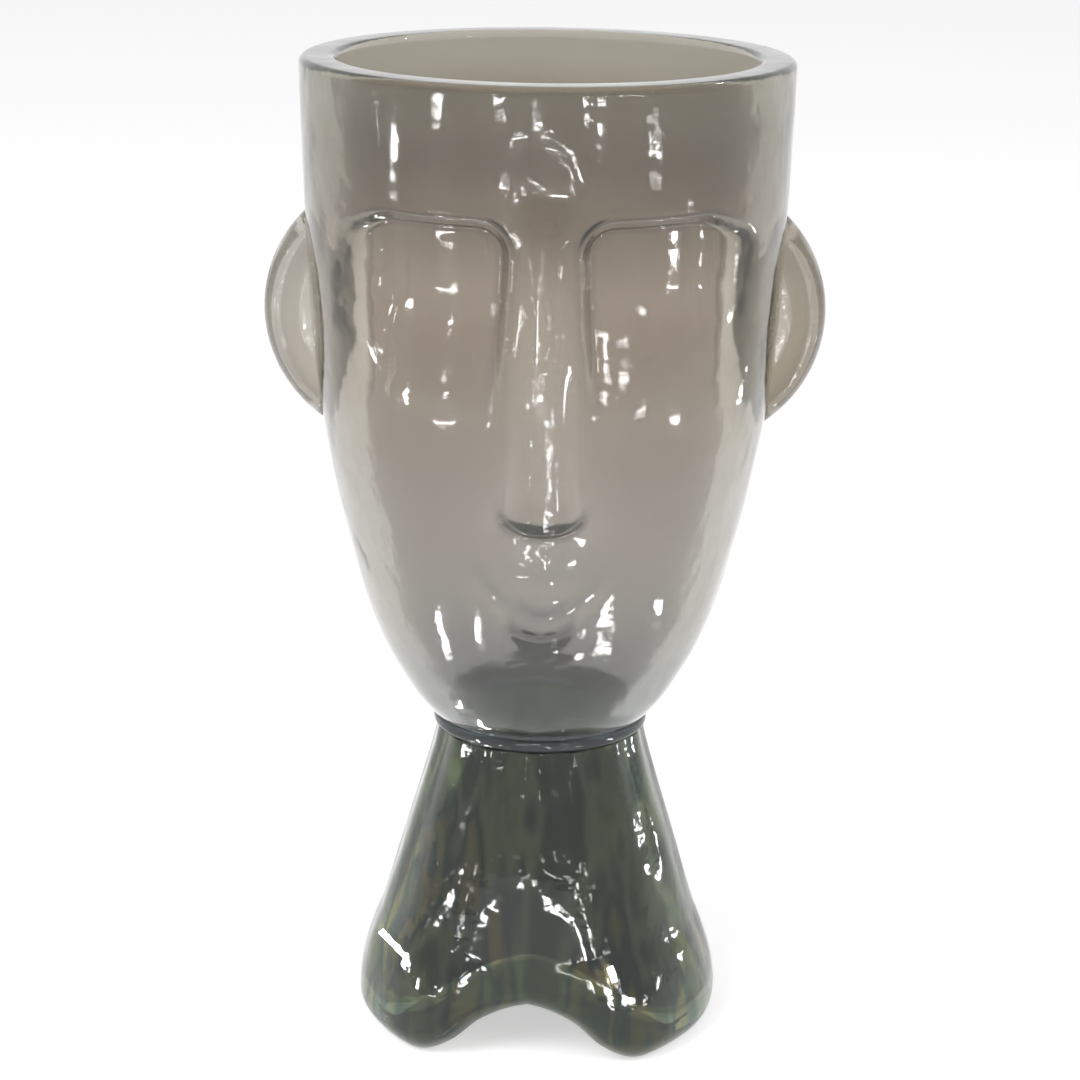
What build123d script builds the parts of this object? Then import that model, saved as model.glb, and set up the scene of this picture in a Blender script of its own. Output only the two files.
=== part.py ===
from build123d import *
from math import acos, cos, degrees, exp, hypot, pi, sin, sqrt
import os

os.makedirs("parts", exist_ok=True)

# A heavy glass vase in the form of a head with a face, on a flared foot.
# Millimetres. +Z is up, z = 0 is the surface it stands on, the Z axis runs
# up the middle of the foot, the neck and the bowl, and the face looks
# along -Y. The ears are on the X axis.

# Driving heights
total_height = 300
foot_height = 95.5
ring_height = 5

# The neck, where the bowl, the ring and the foot meet
neck_radius = 32.5
neck_bore = 22.5

# The bowl: a round rim, a tapering body and a chin that overhangs the neck
rim_radius = 72.5
bowl_wall = 10.8
rim_round_share = 0.2
neck_wall_height = 8
chin_forward = 9.6
inside_relief_share = 0.5

# Radius of the bowl's side from neck to rim, as shares of the bowl's height
# and of what the rim's radius adds to the neck's
bowl_side_shares = [
    (0.0, 0.0), (0.025, 0.092), (0.05, 0.195), (0.081, 0.295), (0.114, 0.387),
    (0.178, 0.52), (0.272, 0.65), (0.366, 0.757), (0.46, 0.844), (0.579, 0.913),
    (0.772, 0.966), (0.926, 0.993), (1.0, 1.0),
]

# How far the chin stands out in front of the round section, as shares of
# the bowl's height and of the chin's reach
chin_shares = [
    (0.0, 0.0), (0.01, 0.62), (0.025, 0.98), (0.05, 0.97), (0.081, 0.8),
    (0.114, 0.62), (0.178, 0.38), (0.272, 0.2), (0.366, 0.07), (0.46, 0.0), (1.0, 0.0),
]

# Places on the face and of the ears, up from the bowl's foot, as shares of the
# bowl's height
brow_share = 0.82
glabella_share = 0.859
socket_fade_top_share = 0.72
socket_fade_foot_share = 0.448
nose_base_share = 0.357
muzzle_share = 0.298
mouth_share = 0.196
ear_share = 0.621

# The brow and the eye sockets, which have no eyes in them
brow_edge = 5
brow_end_drop = 7
brow_end_start = 44
brow_end_width = 20
socket_depth = 6.2
socket_corner = 12
socket_side_start = 46
socket_side_width = 16
glabella_depth = 1.1
glabella_width = 9
glabella_tall = 9

# The nose: a straight ridge from the brow to a flat base
nose_reach = 8.5
nose_top_half = 8.5
nose_base_half = 14.5
nose_core_share = 0.24
nose_under = 3.5
nose_base_curve = 5
nose_rise_power = 1.25
nose_widen_power = 1.4

# The mouth: a soft muzzle, two small lips and the line between them
muzzle_reach = 3.2
muzzle_width = 19
muzzle_tall = 11
mouth_half = 8
mouth_end = 3.5
mouth_curve = 2.6
mouth_depth = 0.8
mouth_line = 2.2
upper_lip_reach = 1.9
upper_lip_rise = 6.6
upper_lip_width = 13
upper_lip_tall = 4.6
lower_lip_reach = 0.2
lower_lip_fall = 5.4
lower_lip_width = 11
lower_lip_tall = 4
lip_dip_depth = 0.2
lip_dip_fall = 13
lip_dip_width = 15
lip_dip_tall = 6

# The ears: thick discs fused to the bowl's sides, with a dished front
ear_disc_radius = 40.8
ear_sink = 29.7
ear_thickness = 15
ear_rim_width = 8
ear_dish = 3
ear_dish_share = 1.4
ear_back_crown = 3
ear_back_share = 0.8

# The ring between the bowl and the foot
ring_stand = 0.4
ring_round_share = 0.4

# The foot: a fluted hollow cone, pinched in at the front and the back, that
# ends in two rounded feet
foot_top_step = 0.6
foot_radius = 56.3
foot_wall = 8.4
foot_turn = 4
foot_bottom_round = 9
foot_ground_off = 0.6
flute_count = 15
flute_depth = 0.7
flute_foot_share = 0.25
pinch_depth = 12
pinch_top_height = 66
pinch_half_angle = 40
foot_floor = 5
arch_cover = 12

# Radius of the foot's side from bottom to top, as shares of its height and of
# what the foot's radius adds to its top's
foot_side_shares = [
    (0.0, 0.993), (0.075, 1.0), (0.15, 0.978), (0.222, 0.915), (0.296, 0.821),
    (0.368, 0.71), (0.51, 0.543), (0.656, 0.375), (0.798, 0.209), (0.94, 0.052), (1.0, 0.0),
]

# The arch that runs under the foot from front to back, as shares of its
# half width and its height
arch_height = 17
arch_half = 34
arch_shares = [(0.0, 1.0), (0.41, 0.75), (0.68, 0.32), (1.0, 0.0)]
arch_end_share = 0.4

# Counts and steps of the sections that the lofts run through
points_around = 80
front_crowding_share = 0.6
bowl_section_gap = 5
fine_section_gap = 1.5
crease_reach = 12
level_trials = 5000
foot_points_around = 120
foot_sections = 12
round_sections = 5
overrun = 1

bowl_foot = foot_height + ring_height
bowl_height = total_height - bowl_foot
foot_top_radius = neck_radius - foot_top_step

brow_height = brow_share * bowl_height
glabella_height = glabella_share * bowl_height
socket_fade_top = socket_fade_top_share * bowl_height
socket_fade_foot = socket_fade_foot_share * bowl_height
nose_base_height = nose_base_share * bowl_height
muzzle_height = muzzle_share * bowl_height
mouth_height = mouth_share * bowl_height
ear_level = bowl_foot + ear_share * bowl_height


def smooth(t):
    """0 below t = 0, 1 above t = 1, and an even S between them."""
    t = min(max(t, 0.0), 1.0)
    return t * t * (3 - 2 * t)


def bell(t):
    return exp(-t * t)


def follow(shares, t):
    """The height of a smooth curve through the share points, at t."""
    last = len(shares) - 1
    slopes = []
    for i in range(len(shares)):
        before = shares[max(i - 1, 0)]
        after = shares[min(i + 1, last)]
        slopes.append((after[1] - before[1]) / (after[0] - before[0]))
    for i in range(last):
        (t0, v0), (t1, v1) = shares[i], shares[i + 1]
        if t <= t1 or i == last - 1:
            run = t1 - t0
            s = (t - t0) / run
            return (
                v0 * (1 + 2 * s) * (1 - s) ** 2
                + v1 * s * s * (3 - 2 * s)
                + run * s * (1 - s) * (slopes[i] * (1 - s) - slopes[i + 1] * s)
            )


def nose_fall(h):
    """0 at the brow and 1 at the nose's base, for a height on the bowl."""
    return min(max((brow_height - h) / (brow_height - nose_base_height), 0.0), 1.0)


def nose_half(h):
    return nose_top_half + (nose_base_half - nose_top_half) * nose_fall(h) ** nose_widen_power


def nose(u, h):
    """The ridge: level with the brow at its top, proudest at its base."""
    half = nose_half(h)
    core = nose_core_share * half
    across = smooth((half - abs(u)) / (half - core))
    base = nose_base_height + nose_base_curve * (u / nose_base_half) ** 2
    return nose_reach * nose_fall(h) ** nose_rise_power * across * smooth((h - base) / nose_under)


def socket(u, h):
    """Recess under the brow, with a round inner corner, faded into the cheek."""
    side = abs(u)
    brow = brow_height - brow_end_drop * smooth((side - brow_end_start) / brow_end_width)
    to_nose = nose_half(h) + socket_corner - side
    to_brow = h - (brow - socket_corner)
    edge = hypot(max(to_nose, 0.0), max(to_brow, 0.0)) + min(max(to_nose, to_brow), 0.0)
    inside = smooth((socket_corner - edge) / brow_edge)
    down = smooth((h - socket_fade_foot) / (socket_fade_top - socket_fade_foot))
    out = 1 - smooth((side - socket_side_start) / socket_side_width)
    return -socket_depth * inside * down * out


def mouth(u, h):
    muzzle = muzzle_reach * bell(u / muzzle_width) * bell((h - muzzle_height) / muzzle_tall)
    line = mouth_height + mouth_curve * (u / mouth_half) ** 2
    upper = upper_lip_reach * bell(u / upper_lip_width)
    upper *= bell((h - line - upper_lip_rise) / upper_lip_tall)
    lower = lower_lip_reach * bell(u / lower_lip_width)
    lower *= bell((h - mouth_height + lower_lip_fall) / lower_lip_tall)
    dip = lip_dip_depth * bell(u / lip_dip_width)
    dip *= bell((h - mouth_height + lip_dip_fall) / lip_dip_tall)
    slit = mouth_depth * bell((h - line) / mouth_line)
    slit *= 1 - smooth((abs(u) - mouth_half) / mouth_end)
    return muzzle + upper + lower - dip - slit


def face(u, h):
    """How far the face stands out of the plain bowl, u to the side and h up it."""
    dent = glabella_depth * bell(u / glabella_width)
    dent *= bell((h - glabella_height) / glabella_tall)
    return nose(u, h) + socket(u, h) + mouth(u, h) - dent


def bowl_point(turn, z, inside):
    """A point of the bowl's outer or inner surface; turn is 0 at the face."""
    h = z - bowl_foot
    t = h / bowl_height
    side = neck_radius + (rim_radius - neck_radius) * follow(bowl_side_shares, t)
    facing = max(cos(turn), 0.0)
    chin = chin_forward * follow(chin_shares, t) * facing ** 2
    relief = face(side * sin(turn), h) * smooth(2 * facing)
    if inside:
        neck_wall = neck_radius - neck_bore
        wall = neck_wall + (bowl_wall - neck_wall) * smooth(h / neck_wall_height)
        reach = side - wall + inside_relief_share * (chin + relief)
    else:
        reach = side + chin + relief
    return (reach * sin(turn), -reach * cos(turn), 0)


def bowl_turns():
    """Angles around the bowl, crowded towards the face."""
    turns = []
    for k in range(points_around):
        even = 2 * pi * k / points_around
        turns.append(even - front_crowding_share * sin(even))
    return turns


def bowl_levels():
    """Section heights: close together at the neck and at the creases of the face."""
    creases = (0, mouth_height, nose_base_height, brow_height)
    step = bowl_height / level_trials
    sections_below = [0.0]
    for k in range(level_trials):
        near = max(bell(((k + 0.5) * step - crease) / crease_reach) for crease in creases)
        gap = bowl_section_gap + (fine_section_gap - bowl_section_gap) * near
        sections_below.append(sections_below[-1] + step / gap)
    section_count = round(sections_below[-1])
    levels = []
    k = 0
    for number in range(section_count):
        while sections_below[k] < sections_below[-1] * number / section_count:
            k += 1
        levels.append(bowl_foot + k * step)
    return levels + [total_height]


def closed_curve(points):
    """One smooth closed edge, with the same knots in every section."""
    knots = [k / len(points) for k in range(len(points) + 1)]
    return Edge.make_spline(points, periodic=True, parameters=knots)


def foot_point(turn, z, inside):
    """A point of the foot's outer or inner surface; turn is 0 at the front."""
    t = z / foot_height
    side = foot_top_radius + (foot_radius - foot_top_radius) * follow(foot_side_shares, t)
    from_pinch = degrees(acos(min(abs(cos(turn)), 1.0)))
    pinch = pinch_depth * smooth(1 - from_pinch / pinch_half_angle)
    pinch *= smooth((pinch_top_height - z) / pinch_top_height)
    flute = flute_depth * (flute_foot_share + (1 - flute_foot_share) * t)
    flute *= (1 - cos(flute_count * turn)) / 2
    if inside:
        top_wall = foot_top_radius - neck_bore
        reach = side - pinch - foot_wall - (top_wall - foot_wall) * smooth(t)
        up = z - foot_floor
    else:
        reach = side - pinch - flute
        up = z
    short = foot_bottom_round - foot_ground_off - up
    if short > 0:
        reach -= foot_bottom_round - sqrt(foot_bottom_round ** 2 - short ** 2)
    return (reach * sin(turn), -reach * cos(turn), 0)


def foot_turns():
    return [2 * pi * k / foot_points_around for k in range(foot_points_around)]


def foot_levels(lowest):
    """Section heights from the lowest, close together round its bottom edge."""
    round_height = foot_bottom_round - foot_ground_off
    levels = []
    for k in range(round_sections):
        levels.append(lowest + round_height * (1 - cos(pi / 2 * k / round_sections)))
    start = lowest + round_height
    for k in range(foot_sections + 1):
        levels.append(start + (foot_height - start) * k / foot_sections)
    return levels


# The bowl's outer shape, solid, which also shapes the roots of the ears. The
# bands between its sections are ruled, which holds its shape at every crease
with BuildPart() as bowl_core:
    for level in bowl_levels():
        with BuildSketch(Plane.XY.offset(level)):
            with BuildLine():
                add(closed_curve([bowl_point(turn, level, False) for turn in bowl_turns()]))
            make_face()
    loft(ruled=True)

with BuildPart() as bowl_hollow:
    for level in bowl_levels():
        with BuildSketch(Plane.XY.offset(level)):
            with BuildLine():
                add(closed_curve([bowl_point(turn, level, True) for turn in bowl_turns()]))
            make_face()
    loft(ruled=True)
    extrude(bowl_hollow.faces().sort_by(Axis.Z)[-1], amount=overrun)
    extrude(bowl_hollow.faces().sort_by(Axis.Z)[0], amount=overrun)

with BuildPart() as head_bowl:
    add(bowl_core.part)
    add(bowl_hollow.part, mode=Mode.SUBTRACT)
    rim_face = head_bowl.faces().filter_by(GeomType.PLANE).sort_by(Axis.Z)[-1]
    fillet(rim_face.edges(), radius=rim_round_share * bowl_wall)
head_bowl.part.label = "head_bowl"
export_step(head_bowl.part, "parts/head_bowl.step")

# Each ear is a thick disc on a front to back axis, cut by the bowl's surface
ear_centre = rim_radius - ear_sink
ear_tip = ear_centre + ear_disc_radius
ear_half = ear_thickness / 2
ear_back = ear_half + ear_back_crown
with BuildPart() as ear_left:
    with BuildSketch(Plane.XY.offset(ear_level)):
        with BuildLine():
            outline = Spline(
                (ear_centre, ear_back),
                (ear_tip - ear_rim_width / 2, ear_half * ear_back_share),
                (ear_tip, 0),
                (ear_tip - ear_rim_width / 2, -ear_half),
                (ear_tip - ear_rim_width * ear_dish_share, ear_dish - ear_half),
                (ear_centre, ear_dish - ear_half),
                tangents=((1, 0), (-1, 0)),
            )
            Line(outline @ 1, outline @ 0)
        make_face()
    revolve(axis=Axis((ear_centre, 0, ear_level), (0, 1, 0)))
    add(bowl_core.part, mode=Mode.SUBTRACT)
ear_left.part.label = "ear_left"
export_step(ear_left.part, "parts/ear_left.step")

with BuildPart() as ear_right:
    mirror(ear_left.part, about=Plane.YZ)
ear_right.part.label = "ear_right"
export_step(ear_right.part, "parts/ear_right.step")

# The ring of thick glass that joins the bowl to the foot
with BuildPart() as neck_ring:
    with BuildSketch(Plane.XY.offset(foot_height)):
        Circle(neck_radius + ring_stand)
        Circle(neck_bore, mode=Mode.SUBTRACT)
    extrude(amount=ring_height)
    ring_rims = neck_ring.edges().filter_by(GeomType.CIRCLE).sort_by(SortBy.RADIUS)[-2:]
    fillet(ring_rims, radius=ring_round_share * ring_height)
neck_ring.part.label = "neck_ring"
export_step(neck_ring.part, "parts/neck_ring.step")

# The foot turns a little to one side of the face
foot_plane = Plane.XY.rotated((0, 0, -foot_turn))
arch_plane = Plane(foot_plane.origin, x_dir=foot_plane.x_dir, z_dir=-foot_plane.y_dir)
arch_run = 2 * foot_radius


def arch_outline(half, height):
    """The arch's cross-section, carried a little below the floor."""
    points = [(-x * half, y * height) for x, y in reversed(arch_shares)]
    points += [(x * half, y * height) for x, y in arch_shares[1:]]
    crown = Spline(*points, tangents=((1, arch_end_share), (1, -arch_end_share)))
    Polyline(crown @ 1, (half, -overrun), (-half, -overrun), crown @ 0)


# The space inside the foot, over its floor and the thick glass that covers the arch
with BuildPart() as foot_hollow:
    for level in foot_levels(foot_floor):
        with BuildSketch(foot_plane.offset(level)):
            with BuildLine():
                add(closed_curve([foot_point(turn, level, True) for turn in foot_turns()]))
            make_face()
    loft()
    extrude(foot_hollow.faces().sort_by(Axis.Z)[-1], amount=overrun)
    with BuildSketch(arch_plane):
        with BuildLine():
            arch_outline(arch_half + arch_cover, arch_height + arch_cover)
        make_face()
    extrude(amount=arch_run, both=True, mode=Mode.SUBTRACT)

with BuildPart() as pedestal:
    for level in foot_levels(0):
        with BuildSketch(foot_plane.offset(level)):
            with BuildLine():
                add(closed_curve([foot_point(turn, level, False) for turn in foot_turns()]))
            make_face()
    loft()
    with BuildSketch(arch_plane):
        with BuildLine():
            arch_outline(arch_half, arch_height)
        make_face()
    extrude(amount=arch_run, both=True, mode=Mode.SUBTRACT)
    add(foot_hollow.part, mode=Mode.SUBTRACT)
pedestal.part.label = "pedestal"
export_step(pedestal.part, "parts/pedestal.step")
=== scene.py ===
import math

import bpy
import numpy as np
from mathutils import Matrix, Vector
from mathutils.bvhtree import BVHTree


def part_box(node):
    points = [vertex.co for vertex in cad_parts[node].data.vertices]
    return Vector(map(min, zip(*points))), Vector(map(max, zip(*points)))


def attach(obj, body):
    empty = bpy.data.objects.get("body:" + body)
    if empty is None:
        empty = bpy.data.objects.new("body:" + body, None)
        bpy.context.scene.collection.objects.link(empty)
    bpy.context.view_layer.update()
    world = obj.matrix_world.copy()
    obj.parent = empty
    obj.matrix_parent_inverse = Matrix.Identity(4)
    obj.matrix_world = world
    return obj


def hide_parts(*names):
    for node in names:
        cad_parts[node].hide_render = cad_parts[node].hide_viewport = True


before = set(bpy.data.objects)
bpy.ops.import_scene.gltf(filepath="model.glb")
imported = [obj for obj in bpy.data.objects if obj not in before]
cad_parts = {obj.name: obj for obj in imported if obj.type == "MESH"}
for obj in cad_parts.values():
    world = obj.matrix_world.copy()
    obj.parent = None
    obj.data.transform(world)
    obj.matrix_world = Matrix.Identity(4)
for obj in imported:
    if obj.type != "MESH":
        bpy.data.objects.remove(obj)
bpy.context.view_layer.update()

# A thick smoky glass vase in the form of a head with a face, on a dark fluted foot.
# The shapes below are worked out in millimetres and written to the meshes in metres.
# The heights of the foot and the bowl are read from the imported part.
MM = 0.001
foot_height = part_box("pedestal")[1].z / MM
bowl_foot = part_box("head_bowl")[0].z / MM
total_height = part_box("head_bowl")[1].z / MM
bowl_height = total_height - bowl_foot

# The bowl
neck_radius = 32.5
neck_bore = 22.5
rim_radius = 72.5
bowl_wall = 10.8
rim_round = 0.2 * bowl_wall
neck_wall_height = 8
chin_forward = 9.6
inside_relief_share = 0.5
bowl_side_shares = [
    (0.0, 0.0), (0.025, 0.092), (0.05, 0.195), (0.081, 0.295), (0.114, 0.387),
    (0.178, 0.52), (0.272, 0.65), (0.366, 0.757), (0.46, 0.844), (0.579, 0.913),
    (0.772, 0.966), (0.926, 0.993), (1.0, 1.0),
]
chin_shares = [
    (0.0, 0.0), (0.01, 0.62), (0.025, 0.98), (0.05, 0.97), (0.081, 0.8),
    (0.114, 0.62), (0.178, 0.38), (0.272, 0.2), (0.366, 0.07), (0.46, 0.0), (1.0, 0.0),
]

# Places on the face, up from the bowl's foot
brow_height = 0.82 * bowl_height
glabella_height = 0.859 * bowl_height
socket_fade_top = 0.72 * bowl_height
socket_fade_foot = 0.448 * bowl_height
nose_base_height = 0.357 * bowl_height
muzzle_height = 0.298 * bowl_height
mouth_height = 0.196 * bowl_height
ear_level = bowl_foot + 0.621 * bowl_height

# The brow and the eye sockets
brow_edge = 5
brow_end_drop = 7
brow_end_start = 44
brow_end_width = 20
socket_depth = 6.2
socket_corner = 12
socket_side_start = 46
socket_side_width = 16
glabella_depth = 1.1
glabella_width = 9
glabella_tall = 9

# The nose
nose_reach = 8.5
nose_top_half = 8.5
nose_base_half = 14.5
nose_core_share = 0.24
nose_under = 3.5
nose_base_curve = 5
nose_rise_power = 1.25
nose_widen_power = 1.4

# The mouth
muzzle_reach = 3.2
muzzle_width = 19
muzzle_tall = 11
mouth_half = 8
mouth_end = 3.5
mouth_curve = 2.6
mouth_depth = 0.8
mouth_line = 2.2
upper_lip_reach = 1.9
upper_lip_rise = 6.6
upper_lip_width = 13
upper_lip_tall = 4.6
lower_lip_reach = 0.2
lower_lip_fall = 5.4
lower_lip_width = 11
lower_lip_tall = 4
lip_dip_depth = 0.2
lip_dip_fall = 13
lip_dip_width = 15
lip_dip_tall = 6

# The ears
ear_disc_radius = 40.8
ear_sink = 29.7
ear_thickness = 15
ear_rim_width = 8
ear_dish = 3
ear_dish_share = 1.4
ear_back_crown = 3
ear_back_share = 0.8

# The ring and the foot
ring_stand = 0.4
ring_round = 2
foot_top_radius = 31.9
foot_radius = 56.3
foot_wall = 8.4
foot_turn = math.radians(4)
foot_bottom_round = 9
foot_ground_off = 0.6
flute_count = 15
flute_depth = 0.7
flute_foot_share = 0.25
pinch_depth = 12
pinch_top_height = 66
pinch_half_angle = 40
foot_floor = 5
arch_cover = 12
foot_side_shares = [
    (0.0, 0.993), (0.075, 1.0), (0.15, 0.978), (0.222, 0.915), (0.296, 0.821),
    (0.368, 0.71), (0.51, 0.543), (0.656, 0.375), (0.798, 0.209), (0.94, 0.052), (1.0, 0.0),
]
arch_height = 17
arch_half = 34
arch_shares = [(-0.4, 1.0), (0.0, 1.0), (0.41, 0.75), (0.68, 0.32), (1.0, 0.0), (1.4, 0.0)]

# Glass pieces that touch stand this far apart, so that no two faces coincide
seam = 0.03
edge_round = 0.5

# Painted shade along the face's creases, and a painted highlight with thinner glass along the nose
# and muzzle, both put into the bowl's colour.
# Both lie only on what is further forward than marks_from.
marks_from = 20
under_nose_tall = 3
under_nose_end = 4
lips_rise = 1.4
lips_tall = 3
socket_line_width = 2.2
socket_line_share = 0.55
thin_nose_highlight_share = 0.9
thin_nose_highlight_start = 2
thin_lips_highlight_share = 0.8
thin_lips_highlight_width = 30
thin_lips_highlight_tall = 24

# Mesh steps. The bowl's columns stand closer together at the face.
bowl_around = 480
bowl_face_crowding = 0.45
bowl_rings = 300
inner_rings = 200
foot_around = 360
foot_rings = 130
foot_rise_power = 1.6
floor_rings = 40
round_rings = 10
edge_rings = 5
ear_around = 240
ear_rings = 220

# The tool that cuts the ears: the part of the bowl's wall that it follows
cut_from = math.radians(55)
cut_to = math.radians(125)
cut_half_height = 48
cut_columns = 240
cut_rows = 260

# Slow waves that hand-made glass has in its surface
wave_seed = 11
wave_count = 26
wave_shortest = 14
wave_longest = 60
wave_depth = 0.26
wave_upright_share = 0.6
wave_contrast = 1.3
ear_wave_depth = 0.2

# The glass: its streaks, its fine ripple, and the polished skin over it
glass_ior = 1.48
streak_scale = 28
streak_detail = 2
streak_roughness = 0.5
ripple_detail = 3
ripple_roughness = 0.45
skin_ior = 1.5
skin_roughness = 0.03
skin_ripple_share = 0.25

# How far the tints are spread: half the ears' height in millimetres, and for the
# foot a number of its own heights, which leaves its colour to its streaks
ear_tint_half = 31
foot_tint_spread = 6

# The studio, in metres: a pale floor, and a sky that is white at the horizon
floor_half = 12
floor_tone = 0.8
floor_glow = 0.52
room_light = 0.45
sky_at_horizon = 1.0
sky_overhead = 0.7
sky_white_to = 0.25
sky_dark_from = 0.8
soft_lamp_size = 1.2
soft_lamp_aim = (0, 0, 0.2)

# The camera, fitted to the photograph, which is 1080 pixels wide and high
photo_side = 1080
focal_pixels = 2978
sensor_width = 36
camera_place = (-0.00064, -0.871, 0.406)
camera_tilt = math.radians(90 - 16.2)
camera_roll = math.radians(0.7)

# Small bright lamps, as in a shop: the pixels where each one is mirrored, across
# and down, and its width and height in metres
glint_distance = 1.1
glint_lowest = 0.03
glint_radiance = 75
glints = [
    (405, 38, 0.040, 0.020), (394, 133, 0.050, 0.020), (440, 108, 0.050, 0.008),
    (497, 100, 0.100, 0.004), (520, 140, 0.140, 0.004), (591, 45, 0.040, 0.006),
    (585, 100, 0.050, 0.006), (600, 131, 0.035, 0.016), (647, 92, 0.140, 0.006),
    (655, 155, 0.100, 0.004), (568, 150, 0.020, 0.012), (446, 234, 0.180, 0.004),
    (674, 250, 0.050, 0.010), (605, 342, 0.030, 0.016), (624, 370, 0.100, 0.004),
    (536, 345, 0.030, 0.014), (541, 399, 0.030, 0.008), (547, 374, 0.020, 0.004),
    (547, 425, 0.020, 0.004), (548, 457, 0.012, 0.010), (549, 490, 0.010, 0.004),
    (521, 564, 0.050, 0.003), (521, 576, 0.050, 0.003), (572, 564, 0.050, 0.008),
    (605, 611, 0.030, 0.003), (444, 640, 0.008, 0.020), (580, 655, 0.015, 0.003),
    (477, 628, 0.008, 0.003), (658, 606, 0.020, 0.004), (742, 388, 0.030, 0.006),
    (286, 253, 0.020, 0.012), (480, 724, 0.020, 0.004), (474, 742, 0.015, 0.003),
    (557, 862, 0.008, 0.016), (580, 940, 0.006, 0.008), (605, 990, 0.002, 0.010),
    (491, 856, 0.006, 0.003), (491, 889, 0.005, 0.003), (433, 888, 0.003, 0.014),
    (424, 940, 0.003, 0.008), (394, 1000, 0.003, 0.005),
]


def smooth(t):
    """0 below t = 0, 1 above t = 1, and an even S between them."""
    t = np.clip(t, 0.0, 1.0)
    return t * t * (3 - 2 * t)


def bell(t):
    return np.exp(-t * t)


def follow(shares, t):
    """The height of a smooth curve through the share points, at each t."""
    at = np.array([share[0] for share in shares])
    value = np.array([share[1] for share in shares])
    last = len(shares) - 1
    before = np.maximum(np.arange(last + 1) - 1, 0)
    after = np.minimum(np.arange(last + 1) + 1, last)
    slope = (value[after] - value[before]) / (at[after] - at[before])
    i = np.clip(np.searchsorted(at, t) - 1, 0, last - 1)
    run = at[i + 1] - at[i]
    s = (t - at[i]) / run
    return (
        value[i] * (1 + 2 * s) * (1 - s) ** 2
        + value[i + 1] * s * s * (3 - 2 * s)
        + run * s * (1 - s) * (slope[i] * (1 - s) - slope[i + 1] * s)
    )


def nose_fall(h):
    return np.clip((brow_height - h) / (brow_height - nose_base_height), 0.0, 1.0)


def nose_half(h):
    return nose_top_half + (nose_base_half - nose_top_half) * nose_fall(h) ** nose_widen_power


def nose_base(u):
    """Height of the nose's curved base."""
    return nose_base_height + nose_base_curve * (u / nose_base_half) ** 2


def nose(u, h):
    """The ridge: level with the brow at its top, proudest at its base."""
    half = nose_half(h)
    core = nose_core_share * half
    across = smooth((half - np.abs(u)) / (half - core))
    under = smooth((h - nose_base(u)) / nose_under)
    return nose_reach * nose_fall(h) ** nose_rise_power * across * under


def socket_edge(u, h):
    """How far a point lies from the socket's round corner, towards the nose and brow."""
    side = np.abs(u)
    brow = brow_height - brow_end_drop * smooth((side - brow_end_start) / brow_end_width)
    to_nose = nose_half(h) + socket_corner - side
    to_brow = h - (brow - socket_corner)
    edge = np.hypot(np.maximum(to_nose, 0), np.maximum(to_brow, 0))
    return edge + np.minimum(np.maximum(to_nose, to_brow), 0)


def socket_out(u):
    """1 near the nose, fading to 0 at the side of the head."""
    return 1 - smooth((np.abs(u) - socket_side_start) / socket_side_width)


def socket(u, h):
    """Recess under the brow, with a round inner corner, faded into the cheek."""
    inside = smooth((socket_corner - socket_edge(u, h)) / brow_edge)
    down = smooth((h - socket_fade_foot) / (socket_fade_top - socket_fade_foot))
    return -socket_depth * inside * down * socket_out(u)


def mouth_level(u):
    """Height of the mouth's curved line."""
    return mouth_height + mouth_curve * (u / mouth_half) ** 2


def mouth_share(u):
    """1 along the mouth, fading to 0 past its ends."""
    return 1 - smooth((np.abs(u) - mouth_half) / mouth_end)


def mouth(u, h):
    """The muzzle, with both lips, the dip under them and the line between them."""
    muzzle = muzzle_reach * bell(u / muzzle_width) * bell((h - muzzle_height) / muzzle_tall)
    line = mouth_level(u)
    upper = upper_lip_reach * bell(u / upper_lip_width)
    upper = upper * bell((h - line - upper_lip_rise) / upper_lip_tall)
    lower = lower_lip_reach * bell(u / lower_lip_width)
    lower = lower * bell((h - mouth_height + lower_lip_fall) / lower_lip_tall)
    dip = lip_dip_depth * bell(u / lip_dip_width)
    dip = dip * bell((h - mouth_height + lip_dip_fall) / lip_dip_tall)
    slit = mouth_depth * bell((h - line) / mouth_line) * mouth_share(u)
    return muzzle + upper + lower - dip - slit


def face(u, h):
    dent = glabella_depth * bell(u / glabella_width)
    dent = dent * bell((h - glabella_height) / glabella_tall)
    return nose(u, h) + socket(u, h) + mouth(u, h) - dent


def painted_crease_shade(points):
    """1 where shade is painted along the face's creases, under the nose, at the lips and round the
    eye sockets, and 0 away from them.
    """
    u, h = points[..., 0], points[..., 2] - bowl_foot
    under_nose = bell((h - nose_base(u) - nose_under / 2) / under_nose_tall)
    under_nose = under_nose * smooth((nose_base_half - np.abs(u)) / under_nose_end)
    lips = bell((h - mouth_level(u) - lips_rise) / lips_tall) * mouth_share(u)
    down = smooth((h - nose_base_height) / (socket_fade_top - nose_base_height))
    line = bell((socket_edge(u, h) - socket_corner + brow_edge / 2) / socket_line_width)
    line = line * down ** 2 * socket_out(u)
    front = points[..., 1] < -marks_from
    return np.clip(under_nose + lips + socket_line_share * line, 0, 1) * front


def thin_glass_highlight(points):
    """1 where the glass is painted lighter along the nose and over the muzzle: a painted
    highlight, and glass blown out thin.
    """
    u, h = points[..., 0], points[..., 2] - bowl_foot
    ridge = bell(u / nose_half(h)) * smooth(nose_fall(h) * thin_nose_highlight_start)
    ridge = ridge * smooth((h - nose_base_height) / nose_under)
    lips = bell(u / thin_lips_highlight_width) * bell((h - muzzle_height) / thin_lips_highlight_tall)
    front = points[..., 1] < -marks_from
    return np.clip(thin_nose_highlight_share * ridge + thin_lips_highlight_share * lips, 0, 1) * front


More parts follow.
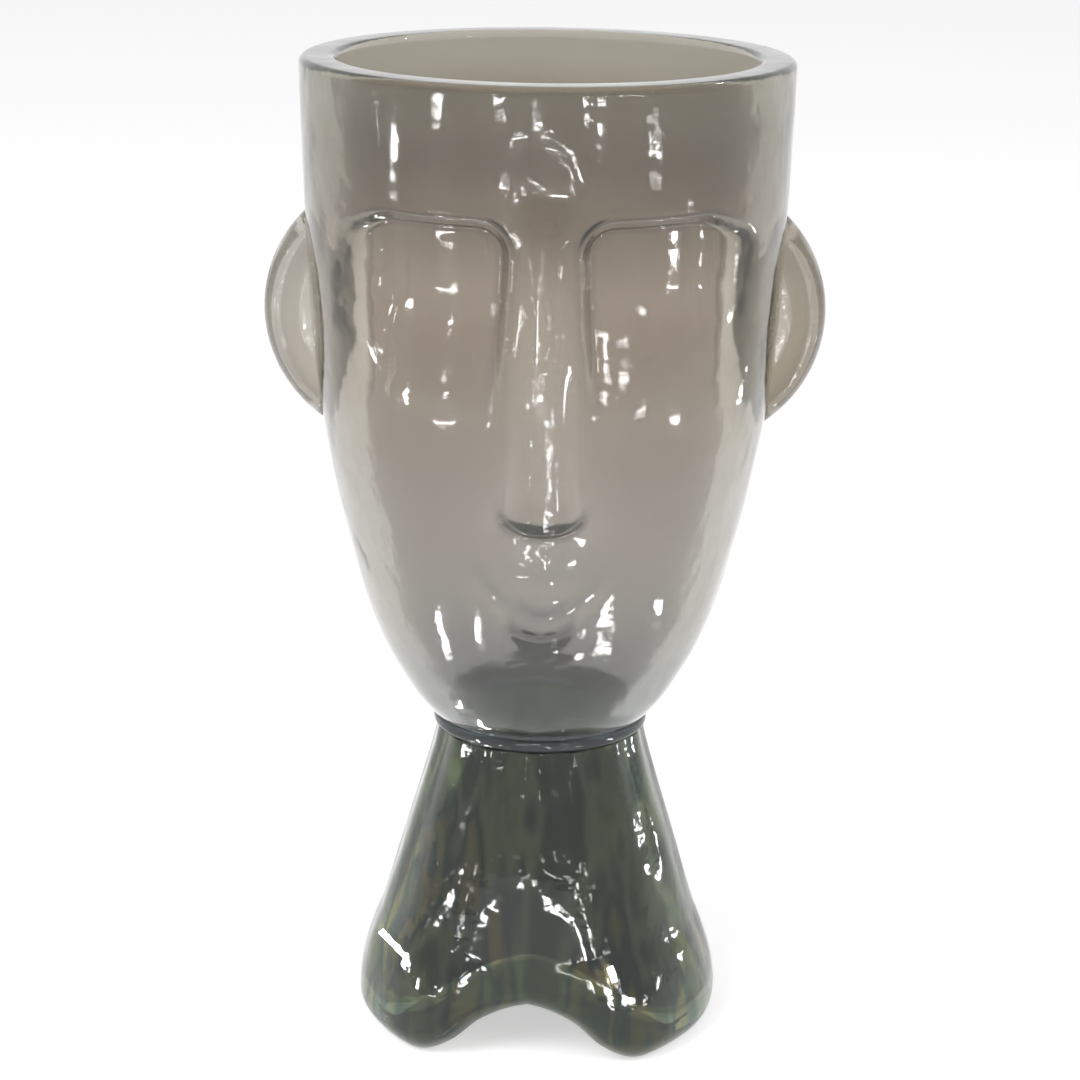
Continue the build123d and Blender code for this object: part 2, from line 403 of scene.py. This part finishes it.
def bowl_reach(turn, z, inside):
    """Distance from the axis to the bowl's outer or inner surface; turn is 0 at the face."""
    h = z - bowl_foot
    t = np.clip(h / bowl_height, 0, 1)
    side = neck_radius + (rim_radius - neck_radius) * follow(bowl_side_shares, t)
    facing = np.maximum(np.cos(turn), 0)
    chin = chin_forward * follow(chin_shares, t) * facing ** 2
    relief = face(side * np.sin(turn), h) * smooth(2 * facing)
    if not inside:
        return side + chin + relief
    neck_wall = neck_radius - neck_bore
    wall = neck_wall + (bowl_wall - neck_wall) * smooth(h / neck_wall_height)
    return side - wall + inside_relief_share * (chin + relief)


def arch_rise(x, half, height):
    """Height of the arch under the foot, for a distance x from its middle."""
    return height * follow(arch_shares, np.minimum(np.abs(x) / half, arch_shares[-1][0]))


def foot_reach(turn, z, inside, lowest):
    """Distance from the axis to the foot's surface, rounded in above its lowest edge."""
    t = z / foot_height
    side = foot_top_radius + (foot_radius - foot_top_radius) * follow(foot_side_shares, t)
    from_pinch = np.degrees(np.arccos(np.minimum(np.abs(np.cos(turn)), 1)))
    pinch = pinch_depth * smooth(1 - from_pinch / pinch_half_angle)
    pinch = pinch * smooth((pinch_top_height - z) / pinch_top_height)
    if inside:
        top_wall = foot_top_radius - neck_bore
        reach = side - pinch - foot_wall - (top_wall - foot_wall) * smooth(t)
    else:
        flute = flute_depth * (flute_foot_share + (1 - flute_foot_share) * t)
        reach = side - pinch - flute * (1 - np.cos(flute_count * turn)) / 2
    short = np.clip(foot_bottom_round - foot_ground_off - (z - lowest), 0, foot_bottom_round)
    return reach - foot_bottom_round + np.sqrt(foot_bottom_round ** 2 - short ** 2)


waves = np.random.default_rng(wave_seed)
wave_length = np.exp(waves.uniform(math.log(wave_shortest), math.log(wave_longest), wave_count))
wave_way = waves.normal(size=(wave_count, 3)) * (1, 1, wave_upright_share)
wave_way = wave_way / np.linalg.norm(wave_way, axis=1)[:, None]
wave_start = waves.uniform(0, 2 * math.pi, wave_count)
wave_size = wave_length / wave_length.sum()


def wave(points):
    """A number from 0 to 1 at each point, which changes slowly from place to place."""
    total = np.zeros(points.shape[:-1])
    for length, way, start, size in zip(wave_length, wave_way, wave_start, wave_size):
        total += size * np.sin(points @ way * (2 * math.pi / length) + start)
    return np.clip(0.5 + wave_contrast * total, 0, 1)


def waved(points):
    """Points of a wall, drawn in towards the axis by the slow waves."""
    reach = np.hypot(points[..., 0], points[..., 1])
    out = 1 - wave_depth * wave(points) / np.maximum(reach, wave_depth)
    return points * np.stack([out, out, np.ones_like(out)], axis=-1)


def ring_grid(turns, reach, z):
    """Points round the axis, from arrays of turn, reach and height that fit together."""
    reach = reach + 0 * turns
    return np.stack([reach * np.sin(turns), -reach * np.cos(turns), z + 0 * reach], axis=-1)


def make_piece(name, points, loops_closed, node):
    """A smooth mesh of rings. Where the rings don't close, a point closes each end."""
    rings, around = points.shape[:2]
    count = rings if loops_closed else rings - 1
    a = np.arange(count)[:, None] * around + np.arange(around)[None, :]
    b = np.arange(count)[:, None] * around + (np.arange(around)[None, :] + 1) % around
    up = np.full((count, 1), around)
    if loops_closed:
        up[-1] = -(count - 1) * around
    faces = np.stack([a, b, b + up, a + up], axis=-1).reshape(-1, 4).tolist()
    verts = points.reshape(-1, 3)
    if not loops_closed:
        ends = np.stack([points[0].mean(axis=0), points[-1].mean(axis=0)])
        first, last = len(verts), len(verts) + 1
        verts = np.vstack([verts, ends])
        top = (rings - 1) * around
        for k in range(around):
            after = (k + 1) % around
            faces.append([after, k, first])
            faces.append([top + k, top + after, last])
    mesh = bpy.data.meshes.new(name)
    mesh.from_pydata((verts * MM).tolist(), [], faces)
    mesh.shade_smooth()
    mesh.update()
    piece = bpy.data.objects.new(name, mesh)
    bpy.context.scene.collection.objects.link(piece)
    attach(piece, "root")
    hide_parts(node)
    return piece


def add_mark(piece, name, values):
    """A number for each point of a piece, which its material reads by name."""
    mark = piece.data.attributes.new(name, "FLOAT", "POINT")
    mark.data.foreach_set("value", values.ravel().astype(np.float32))


def corner(radius, start, end, count):
    """Offsets along a quarter circle, from start to end in radians."""
    angles = np.linspace(start, end, count)
    return radius * np.cos(angles), radius * np.sin(angles)


def make_bowl():
    """The bowl: up its outside, over the rim and down its inside."""
    even = np.linspace(0, 2 * math.pi, bowl_around, endpoint=False)
    turns = (even - bowl_face_crowding * np.sin(even))[None, :]
    low = bowl_foot + seam + edge_round
    high = total_height - rim_round

    def rings(z, inside, inset):
        return ring_grid(turns, bowl_reach(turns, z, inside) + inset, z)

    out, down = corner(edge_round, -math.pi / 2, 0, edge_rings)
    base = bowl_reach(turns, low, False) - edge_round
    outer = [ring_grid(turns, base + out[:, None], low + down[:, None])]
    outer.append(rings(np.linspace(low, high, bowl_rings)[1:, None], False, 0))
    out, up = corner(rim_round, 0, math.pi / 2, round_rings)
    outer.append(rings(high + up[1:, None], False, out[1:, None] - rim_round))
    out, up = corner(rim_round, math.pi / 2, 0, round_rings)
    inner = [rings(high + up[:, None], True, rim_round - out[:, None])]
    inner.append(rings(np.linspace(high, low, inner_rings)[1:, None], True, 0))
    out, down = corner(edge_round, 0, -math.pi / 2, edge_rings)
    base = bowl_reach(turns, low, True) + edge_round
    inner.append(ring_grid(turns, base - out[1:, None], low + down[1:, None]))
    points = np.vstack(outer + inner)
    piece = make_piece("glass_bowl", waved(points), True, "head_bowl")
    outer_count = sum(len(rows) for rows in outer)
    for name, worked_out in (("painted_crease_shade", painted_crease_shade), ("thin_glass_highlight", thin_glass_highlight)):
        values = worked_out(points)
        values[outer_count:] = 0
        add_mark(piece, name, values)
    return piece


def make_ring():
    """The ring: four rounded corners, joined in a loop."""
    turns = np.linspace(0, 2 * math.pi, foot_around, endpoint=False)[None, :]
    low = foot_height + seam
    high = bowl_foot - seam
    rows = []
    for reach, z, radius, start in (
        (neck_radius + ring_stand, low, ring_round, -math.pi / 2),
        (neck_radius + ring_stand, high, ring_round, 0),
        (neck_bore, high, edge_round, math.pi / 2),
        (neck_bore, low, edge_round, math.pi),
    ):
        out, up = corner(radius, start, start + math.pi / 2, round_rings)
        inward = -radius if start < math.pi / 2 else radius
        lift = radius if z == low else -radius
        rows.append(ring_grid(turns, reach + inward + out[:, None], z + lift + up[:, None]))
    return make_piece("glass_ring", np.vstack(rows), True, "neck_ring")


def make_foot():
    """The foot: its outside from the middle of its floor up, then its inside down."""
    turns = np.linspace(0, 2 * math.pi, foot_around, endpoint=False)[None, :]
    high = foot_height - seam

    def skin(inside):
        """Rings from the middle of the floor out to the wall and up to the top."""
        half = arch_half + (arch_cover if inside else 0)
        height = arch_height + (arch_cover if inside else 0)
        floor = foot_floor if inside else 0.0

        def rise(x):
            return np.maximum(arch_rise(x, half, height), floor)

        edge = foot_reach(turns, np.full_like(turns, floor), inside, floor)
        lowest = rise(edge * np.sin(turns))
        edge = foot_reach(turns, lowest, inside, lowest)
        share = np.linspace(0, 1, floor_rings + 1)[1:, None]
        disc_reach = edge * share
        disc = ring_grid(turns, disc_reach, rise(disc_reach * np.sin(turns)))
        disc[-1, :, 2] = lowest[0]
        climb = np.linspace(0, 1, foot_rings)[1:, None] ** foot_rise_power
        z = lowest + (high - edge_round - lowest) * climb
        return disc, ring_grid(turns, foot_reach(turns, z, inside, lowest), z)

    disc, side = skin(False)
    inner_disc, inner_side = skin(True)
    out, up = corner(edge_round, 0, math.pi / 2, edge_rings)
    top = high - edge_round
    outer_reach = foot_reach(turns, np.full_like(turns, top), False, 0) - edge_round
    inner_reach = foot_reach(turns, np.full_like(turns, top), True, foot_floor) + edge_round
    points = waved(np.vstack([
        disc,
        side,
        ring_grid(turns, outer_reach + out[1:, None], top + up[1:, None]),
        ring_grid(turns, inner_reach - out[:0:-1, None], top + up[:0:-1, None]),
        inner_side[::-1],
        inner_disc[::-1],
    ]))
    spin = np.array([[math.cos(foot_turn), math.sin(foot_turn), 0],
                     [-math.sin(foot_turn), math.cos(foot_turn), 0], [0, 0, 1]])
    return make_piece("glass_foot", points @ spin.T, False, "pedestal")


def make_ear(name, side, node):
    """A dished disc, cut off where the bowl's wall begins."""
    centre = rim_radius - ear_sink
    half = ear_thickness / 2
    outline = [
        (0.0, half + ear_back_crown),
        (ear_disc_radius - ear_rim_width / 2, half * ear_back_share),
        (ear_disc_radius, 0.0),
        (ear_disc_radius - ear_rim_width / 2, -half),
        (ear_disc_radius - ear_rim_width * ear_dish_share, ear_dish - half),
        (0.0, ear_dish - half),
    ]
    steps = np.array([0] + [math.dist(a, b) for a, b in zip(outline, outline[1:])]).cumsum()
    way = np.linspace(0, steps[-1], ear_rings)
    reach = follow(list(zip(steps, [p[0] for p in outline])), way)
    depth = follow(list(zip(steps, [p[1] for p in outline])), way)
    spin = np.linspace(0, 2 * math.pi, ear_around, endpoint=False)[None, :]
    reach, depth = reach[1:-1, None], depth[1:-1, None]
    x = centre + reach * np.cos(spin)
    z = ear_level + reach * np.sin(spin)
    points = np.stack([side * x, depth + 0 * x, z], axis=-1)
    if side > 0:
        points = points[:, ::-1]
    points[..., 1] -= ear_wave_depth * (wave(points) - 0.5)
    piece = make_piece(name, points, False, node)
    cut_by_bowl(piece, side)
    return piece


def cut_by_bowl(piece, side):
    """Takes away what lies inside the bowl's outer surface, seam and all."""
    turns = side * np.linspace(cut_from, cut_to, cut_columns)[:, None]
    z = np.linspace(ear_level - cut_half_height, ear_level + cut_half_height, cut_rows)[None, :]
    wall = waved(ring_grid(turns, bowl_reach(turns, z, False), z))
    wall[..., :2] *= 1 + seam / rim_radius
    back = wall.copy()
    back[..., 0] = 0
    rows, columns = wall.shape[:2]
    verts = np.vstack([wall.reshape(-1, 3), back.reshape(-1, 3)]) * MM
    index = np.arange(rows * columns).reshape(rows, columns)
    quads = np.stack([index[:-1, :-1], index[1:, :-1], index[1:, 1:], index[:-1, 1:]], axis=-1)
    faces = quads.reshape(-1, 4).tolist()
    offset = rows * columns
    faces += [[offset + i for i in reversed(face)] for face in faces]
    rim = np.concatenate([index[:, 0], index[-1, 1:], index[-2::-1, -1], index[0, -2:0:-1]])
    for a, b in zip(rim, np.roll(rim, -1)):
        faces.append([int(b), int(a), int(offset + a), int(offset + b)])
    if side < 0:
        faces = [face[::-1] for face in faces]
    mesh = bpy.data.meshes.new("cutter")
    mesh.from_pydata(verts.tolist(), [], faces)
    mesh.update()
    cutter = bpy.data.objects.new("cutter", mesh)
    bpy.context.scene.collection.objects.link(cutter)
    cut = piece.modifiers.new("cut", "BOOLEAN")
    cut.operation = "DIFFERENCE"
    cut.solver = "EXACT"
    cut.object = cutter
    bpy.context.view_layer.update()
    worked_out = piece.evaluated_get(bpy.context.evaluated_depsgraph_get())
    shape = bpy.data.meshes.new_from_object(worked_out)
    piece.modifiers.remove(cut)
    piece.data = shape
    bpy.data.objects.remove(cutter)
    shape.shade_smooth()


def node(tree, kind, **inputs):
    """A shader node with constants on the inputs named."""
    made = tree.nodes.new(kind)
    for name, value in inputs.items():
        made.inputs[name.replace("_", " ")].default_value = value
    return made


def maths(tree, operation, *inputs):
    """The result of a Math node; each input is a number or another node's output."""
    made = tree.nodes.new("ShaderNodeMath")
    made.operation = operation
    for number, value in enumerate(inputs):
        if isinstance(value, (int, float)):
            made.inputs[number].default_value = value
        else:
            tree.links.new(value, made.inputs[number])
    return made.outputs[0]


def height_of(tree, place):
    """The Z of a place."""
    split = tree.nodes.new("ShaderNodeSeparateXYZ")
    tree.links.new(place, split.inputs[0])
    return split.outputs["Z"]


def ramp(tree, factor, stops):
    """A colour ramp on a factor, with its stops as position and colour."""
    made = tree.nodes.new("ShaderNodeValToRGB")
    made.color_ramp.interpolation = "EASE"
    elements = made.color_ramp.elements
    while len(elements) < len(stops):
        elements.new(0.5)
    for element, (position, colour) in zip(elements, stops):
        element.position = position
        element.color = (*colour, 1)
    tree.links.new(factor, made.inputs["Fac"])
    return made.outputs["Color"]


def tinted_by(tree, colour, mark_name, tint, most):
    """A colour that turns to a tint where the piece's mark is 1, by the share most."""
    mark = tree.nodes.new("ShaderNodeAttribute")
    mark.attribute_name = mark_name
    mixed = tree.nodes.new("ShaderNodeMix")
    mixed.data_type = "RGBA"
    mixed.inputs["B"].default_value = (*tint, 1)
    tree.links.new(maths(tree, "MULTIPLY", mark.outputs["Fac"], most), mixed.inputs["Factor"])
    tree.links.new(colour, mixed.inputs["A"])
    return mixed.outputs["Result"]


def make_glass(name, stops, low, high, absorb, density, roughness, ripple_scale, ripple_depth,
               marks=(), streak_stretch=1.0, streak_depth=0.06, skin=0.45, clear=1.0):
    """Tinted glass whose colour follows its height, with slow streaks and a fine ripple."""
    material = bpy.data.materials.new(name)
    material.use_nodes = True
    tree = material.node_tree
    tree.nodes.clear()
    links = tree.links
    place = tree.nodes.new("ShaderNodeTexCoord").outputs["Object"]
    drawn = node(tree, "ShaderNodeMapping", Scale=(1, 1, 1 / streak_stretch))
    links.new(place, drawn.inputs["Vector"])
    streak = node(tree, "ShaderNodeTexNoise", Scale=streak_scale * streak_stretch ** 0.5,
                  Detail=streak_detail, Roughness=streak_roughness)
    links.new(drawn.outputs[0], streak.inputs["Vector"])
    spread = node(tree, "ShaderNodeMapRange", From_Min=low, From_Max=high)
    links.new(height_of(tree, place), spread.inputs["Value"])
    level = spread.outputs["Result"]
    level = maths(tree, "MULTIPLY_ADD", streak.outputs["Fac"], streak_depth, level)
    colour = ramp(tree, level, stops)
    for mark_name, tint, most in marks:
        colour = tinted_by(tree, colour, mark_name, tint, most)
    ripple = node(tree, "ShaderNodeTexNoise", Scale=ripple_scale,
                  Detail=ripple_detail, Roughness=ripple_roughness)
    links.new(place, ripple.inputs["Vector"])
    glass = node(tree, "ShaderNodeBsdfPrincipled", Transmission_Weight=clear, Roughness=roughness,
                 IOR=glass_ior, Coat_Weight=skin, Coat_Roughness=skin_roughness, Coat_IOR=skin_ior)
    links.new(colour, glass.inputs["Base Color"])
    for share, normal in ((1, "Normal"), (skin_ripple_share, "Coat Normal")):
        bump = node(tree, "ShaderNodeBump", Strength=1, Distance=share * ripple_depth)
        links.new(ripple.outputs["Fac"], bump.inputs["Height"])
        links.new(bump.outputs["Normal"], glass.inputs[normal])
    thick = node(tree, "ShaderNodeVolumeAbsorption", Color=(*absorb, 1), Density=density)
    output = tree.nodes.new("ShaderNodeOutputMaterial")
    links.new(glass.outputs[0], output.inputs["Surface"])
    links.new(thick.outputs[0], output.inputs["Volume"])
    return material


def seen_directly(tree):
    """1 for rays from the camera, a mirror or through glass, and 0 for the rest."""
    path = tree.nodes.new("ShaderNodeLightPath")
    total = path.outputs["Is Camera Ray"]
    for name in ("Is Glossy Ray", "Is Transmission Ray"):
        total = maths(tree, "MAXIMUM", total, path.outputs[name])
    return total


def make_floor():
    """A wide pale floor, which glows a little where it is seen, so that it looks white."""
    mesh = bpy.data.meshes.new("floor")
    corners = [(-floor_half, -floor_half, 0), (floor_half, -floor_half, 0),
               (floor_half, floor_half, 0), (-floor_half, floor_half, 0)]
    mesh.from_pydata(corners, [], [(0, 1, 2, 3)])
    floor = bpy.data.objects.new("floor", mesh)
    bpy.context.scene.collection.objects.link(floor)
    material = bpy.data.materials.new("floor")
    material.use_nodes = True
    tree = material.node_tree
    tree.nodes.clear()
    diffuse = node(tree, "ShaderNodeBsdfDiffuse", Color=(floor_tone, floor_tone, floor_tone, 1))
    glow = node(tree, "ShaderNodeEmission", Color=(1, 1, 1, 1))
    level = maths(tree, "MULTIPLY", seen_directly(tree), floor_glow)
    tree.links.new(level, glow.inputs["Strength"])
    both = tree.nodes.new("ShaderNodeAddShader")
    tree.links.new(diffuse.outputs[0], both.inputs[0])
    tree.links.new(glow.outputs[0], both.inputs[1])
    output = tree.nodes.new("ShaderNodeOutputMaterial")
    tree.links.new(both.outputs[0], output.inputs["Surface"])
    mesh.materials.append(material)


def make_world():
    """Soft light all round. Mirrored or seen through glass, it is white at the horizon."""
    world = bpy.data.worlds.new("studio")
    bpy.context.scene.world = world
    world.use_nodes = True
    tree = world.node_tree
    tree.nodes.clear()
    height = height_of(tree, tree.nodes.new("ShaderNodeTexCoord").outputs["Generated"])
    fall = node(tree, "ShaderNodeMapRange", From_Min=sky_white_to, From_Max=sky_dark_from,
                To_Min=sky_at_horizon, To_Max=sky_overhead)
    fall.interpolation_type = "SMOOTHSTEP"
    tree.links.new(height, fall.inputs["Value"])
    camera_ray = tree.nodes.new("ShaderNodeLightPath").outputs["Is Camera Ray"]
    light = node(tree, "ShaderNodeBackground", Color=(1, 1, 1, 1), Strength=room_light)
    backdrop = node(tree, "ShaderNodeBackground", Color=(1, 1, 1, 1))
    seen = maths(tree, "MAXIMUM", fall.outputs["Result"], camera_ray)
    tree.links.new(seen, backdrop.inputs["Strength"])
    mix = tree.nodes.new("ShaderNodeMixShader")
    tree.links.new(seen_directly(tree), mix.inputs[0])
    tree.links.new(light.outputs[0], mix.inputs[1])
    tree.links.new(backdrop.outputs[0], mix.inputs[2])
    output = tree.nodes.new("ShaderNodeOutputWorld")
    tree.links.new(mix.outputs[0], output.inputs["Surface"])


def make_lamp(name, place, aim, width, height, power):
    """A flat lamp at a place, facing the point it is aimed at."""
    data = bpy.data.lights.new(name, "AREA")
    data.energy = power
    data.shape = "RECTANGLE"
    data.size = width
    data.size_y = height
    lamp = bpy.data.objects.new(name, data)
    bpy.context.scene.collection.objects.link(lamp)
    lamp.location = place
    lamp.rotation_euler = (Vector(aim) - Vector(place)).to_track_quat("-Z", "Y").to_euler()
    lamp.visible_transmission = False
    return lamp


def make_soft_lamp(name, place, power):
    """A large lamp that lights the object and the floor, but has no mirror image."""
    lamp = make_lamp(name, place, soft_lamp_aim, soft_lamp_size, soft_lamp_size, power)
    lamp.visible_glossy = False


def make_glints(pieces):
    """Small lamps, each where the camera finds it mirrored at a chosen place."""
    verts, faces = [], []
    for piece in pieces:
        first = len(verts)
        verts += [piece.matrix_world @ vert.co for vert in piece.data.vertices]
        faces += [[first + i for i in face.vertices] for face in piece.data.polygons]
    tree = BVHTree.FromPolygons(verts, faces)
    camera = bpy.context.scene.camera.matrix_world
    eye = camera.translation
    for number, (x, y, width, height) in enumerate(glints):
        way = Vector((x - photo_side / 2, photo_side / 2 - y, -focal_pixels))
        way = (camera.to_3x3() @ way).normalized()
        place, normal, _, _ = tree.ray_cast(eye, way)
        if place is None:
            continue
        mirrored = way - 2 * way.dot(normal) * normal
        reach = glint_distance
        if mirrored.z < 0:
            reach = min(reach, (place.z - glint_lowest) / -mirrored.z)
        lamp_place = place + reach * mirrored
        power = glint_radiance * math.pi * width * height
        make_lamp(f"glint_{number}", lamp_place, place, width, height, power)


def make_camera():
    data = bpy.data.cameras.new("camera")
    data.sensor_width = sensor_width
    data.sensor_height = sensor_width
    data.sensor_fit = "HORIZONTAL"
    data.lens = sensor_width * focal_pixels / photo_side
    camera = bpy.data.objects.new("camera", data)
    bpy.context.scene.collection.objects.link(camera)
    tilt = Matrix.Rotation(camera_tilt, 4, "X")
    roll = Matrix.Rotation(camera_roll, 4, "Z")
    camera.matrix_world = Matrix.Translation(camera_place) @ tilt @ roll
    bpy.context.scene.camera = camera


make_camera()
make_floor()
make_world()

bowl = make_bowl()
ring = make_ring()
foot = make_foot()
ear_left = make_ear("glass_ear_left", 1, "ear_left")
ear_right = make_ear("glass_ear_right", -1, "ear_right")

# The bowl's colour by height is partly the glass's own smoky tint and partly painted reflection of
# the surroundings: darker at the chin and over the brow and forehead, lighter on the cheeks.
bowl.data.materials.append(make_glass(
    "smoky_glass",
    [(0.0, (0.32, 0.335, 0.365)), (0.25, (0.55, 0.515, 0.50)), (0.72, (0.56, 0.49, 0.435)),
     (0.84, (0.36, 0.312, 0.265)), (0.92, (0.365, 0.325, 0.275)), (1.0, (0.46, 0.425, 0.375))],
    low=bowl_foot * MM, high=total_height * MM, absorb=(0.80, 0.81, 0.76), density=70,
    roughness=0.09, ripple_scale=55, ripple_depth=0.0006,
    # The marks paint a lighter highlight along the nose and muzzle, and near-black shade in the
    # face's creases.
    marks=(("thin_glass_highlight", (0.95, 0.90, 0.86), 0.85), ("painted_crease_shade", (0.015, 0.015, 0.015), 0.95))))
# Both ears are the same glass: the right ear has the lit tints, and the left ear's darker, warmer
# tints are painted shade.
for ear, low_tint, high_tint in (
    (ear_right, (0.46, 0.42, 0.375), (0.46, 0.43, 0.395)),
    (ear_left, (0.35, 0.30, 0.24), (0.36, 0.32, 0.265)),
):
    ear.data.materials.clear()
    ear.data.materials.append(make_glass(
        "clear_smoky_glass", [(0.0, low_tint), (1.0, high_tint)],
        low=(ear_level - ear_tint_half) * MM, high=(ear_level + ear_tint_half) * MM,
        absorb=(0.80, 0.82, 0.76), density=40, roughness=0.09,
        ripple_scale=55, ripple_depth=0.0006))
# The ring's near-black tint is dark glass and also painted shade under the overhanging chin.
ring.data.materials.append(make_glass(
    "dark_ring_glass_and_chin_shade", [(0.0, (0.10, 0.12, 0.13)), (1.0, (0.12, 0.14, 0.15))],
    low=foot_height * MM, high=bowl_foot * MM, absorb=(0.5, 0.58, 0.58), density=50,
    roughness=0.09, ripple_scale=60, ripple_depth=0.0004, skin=0))
foot.data.materials.append(make_glass(
    "dark_green_glass",
    [(0.35, (0.13, 0.165, 0.10)), (0.48, (0.03, 0.06, 0.05)), (0.58, (0.21, 0.175, 0.07)),
     (0.68, (0.022, 0.05, 0.045)), (0.8, (0.16, 0.185, 0.11)), (0.95, (0.035, 0.05, 0.03))],
    low=0, high=foot_tint_spread * foot_height * MM, absorb=(0.62, 0.74, 0.58), density=50,
    roughness=0.07, ripple_scale=60, ripple_depth=0.0008,
    streak_stretch=7, streak_depth=1.3, skin=0.2, clear=0.91))

make_soft_lamp("key", (-1.2, -1.4, 1.8), 30)
make_soft_lamp("fill", (1.4, -1.0, 1.4), 14)
make_glints([bowl, ring, foot, ear_left, ear_right])

scene = bpy.context.scene
scene.view_settings.view_transform = "Standard"
scene.cycles.max_bounces = 24
scene.cycles.transmission_bounces = 20
scene.cycles.glossy_bounces = 12
scene.cycles.sample_clamp_indirect = 0
scene.cycles.use_denoising = True
